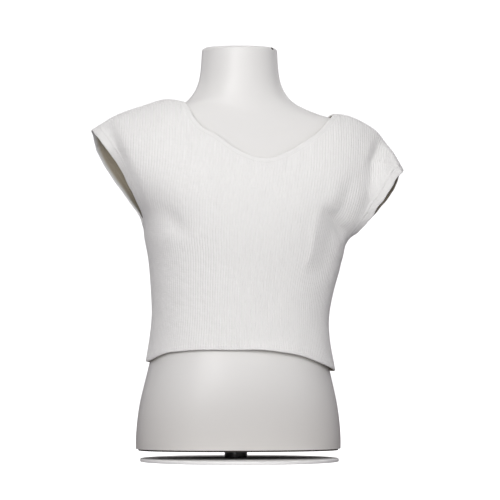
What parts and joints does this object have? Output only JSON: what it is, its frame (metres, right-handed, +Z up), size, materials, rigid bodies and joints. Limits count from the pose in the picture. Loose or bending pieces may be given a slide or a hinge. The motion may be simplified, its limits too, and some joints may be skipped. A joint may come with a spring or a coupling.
{
  "type": "sweater vest on a torso dress form",
  "caption": "Cropped ribbed knitted sweater vest with cap sleeves and a wide scoop neck, worn by a limbless torso dress form that stands on a flat foot.",
  "frame": {"origin": "on the ground, at the centre of the underside of the round foot plate, under the middle of the form", "axes": "+Z up along the form, -Y the way the form's front faces, +X towards the wearer's left"},
  "size_m": [0.398, 0.25, 0.523],
  "materials": {
    "knit_white": "matt fine ribbed knit, off-white",
    "form_white": "glossy white moulded shell",
    "board_dark": "matt dark base board",
    "socket_black": "satin black steel stub",
    "plate_white": "satin white powder coat on steel"
  },
  "bodies": {
    "root": {"vest_front": "knit_white", "vest_back": "knit_white", "neck_band": "knit_white", "armhole_band_right": "knit_white", "armhole_band_left": "knit_white", "hem_band": "knit_white", "form_body": "form_white", "form_board": "board_dark", "pole_socket": "socket_black", "foot_plate": "plate_white"}
  },
  "joints": []
}
